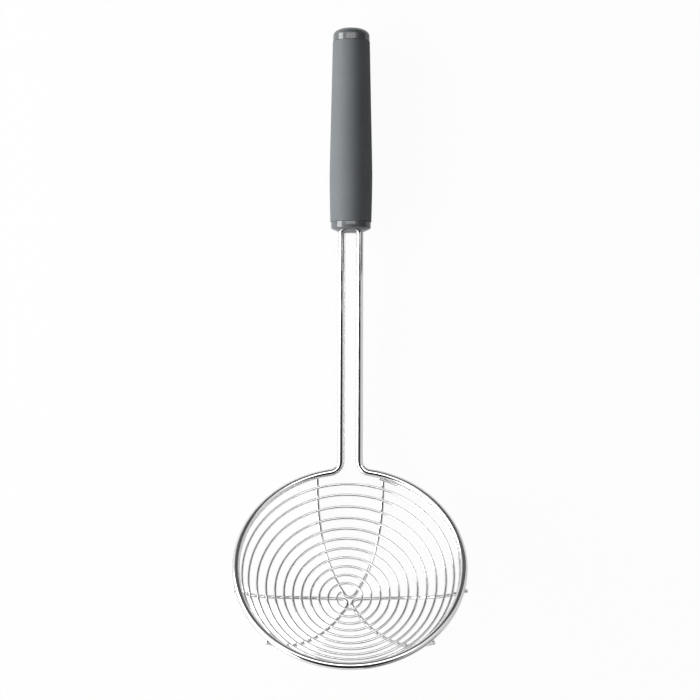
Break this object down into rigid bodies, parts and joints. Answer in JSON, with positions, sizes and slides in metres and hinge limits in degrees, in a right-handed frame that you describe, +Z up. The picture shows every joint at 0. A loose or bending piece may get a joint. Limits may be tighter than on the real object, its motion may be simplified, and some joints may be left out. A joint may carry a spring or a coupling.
{
  "type": "wire skimmer",
  "caption": "Kitchen skimmer with a spiral-wire bowl on a tilted round rim, parallel wire stems and a soft-grip handle with a domed end cap, for lifting food out of hot liquid.",
  "frame": {"origin": "centre of the bounding box, on the table that the skimmer lies on, with the bowl and the grip both touching it", "axes": "+Y along the handle towards its butt, +X to the right as seen from above with the handle pointing away, +Z up, on the side of the bowl's opening"},
  "size_m": [0.126, 0.349, 0.08],
  "materials": {
    "steel_wire": "polished stainless steel wire",
    "hard_plastic": "glossy grey moulded plastic",
    "soft_grip": "matt soft-touch grip"
  },
  "bodies": {
    "root": {"wire_frame": "steel_wire", "stem_spacer": "steel_wire", "support_wire_top": "steel_wire", "support_wire_left": "steel_wire", "support_wire_right": "steel_wire", "spiral_wire": "steel_wire", "handle_core": "hard_plastic", "end_cap": "hard_plastic", "grip_sleeve": "soft_grip"}
  },
  "joints": []
}
